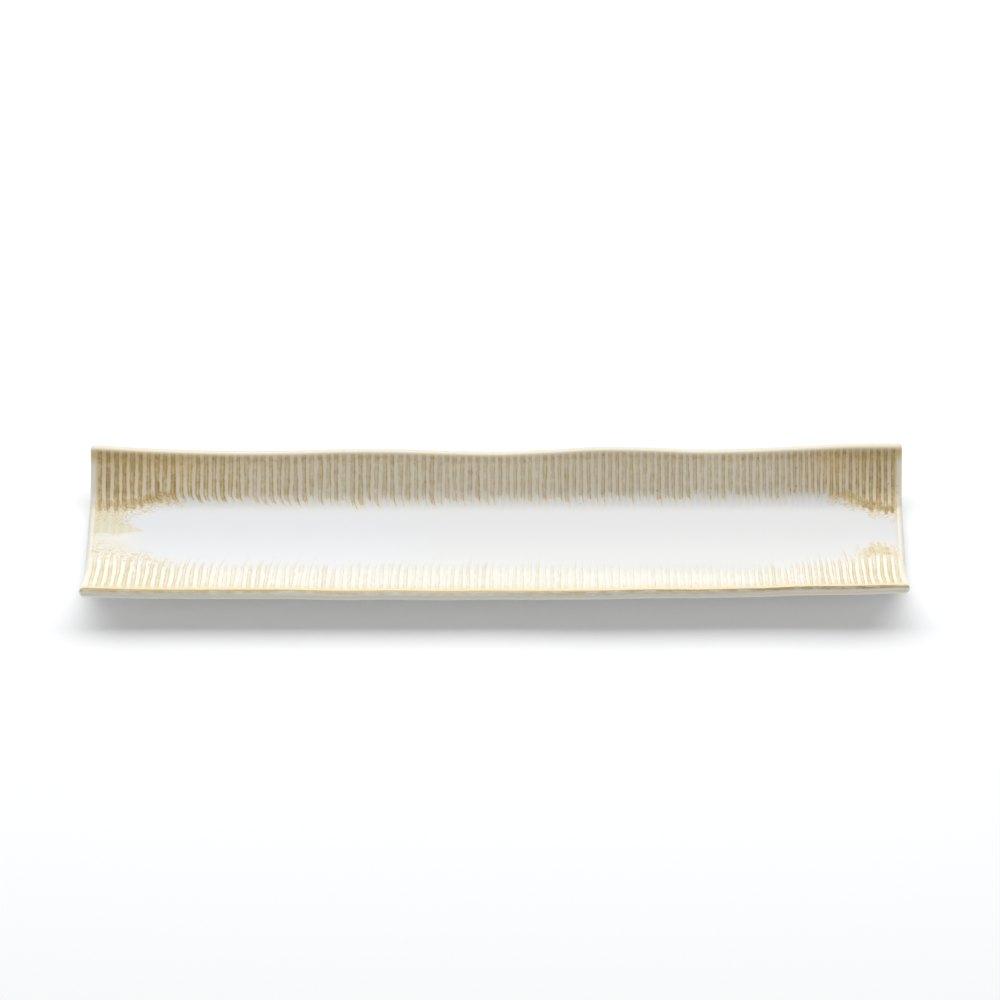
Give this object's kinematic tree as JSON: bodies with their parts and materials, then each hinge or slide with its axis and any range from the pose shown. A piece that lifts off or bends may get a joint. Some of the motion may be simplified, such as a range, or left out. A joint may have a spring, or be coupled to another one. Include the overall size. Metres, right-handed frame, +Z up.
{
  "type": "asparagus plate",
  "caption": "Long open-ended stoneware trough plate for asparagus, with fluted walls, wavy round rims and a low foot ring.",
  "frame": {"origin": "middle of the footprint, on the table that the foot ring stands on", "axes": "+X along the plate, +Y across it, +Z up"},
  "size_m": [0.4, 0.0896, 0.0243],
  "materials": {
    "glazed_stoneware": "glossy cream-white glaze that breaks to ochre and brown in the flutes, on a bare tan foot"
  },
  "bodies": {
    "root": {"plate": "glazed_stoneware"}
  },
  "joints": []
}
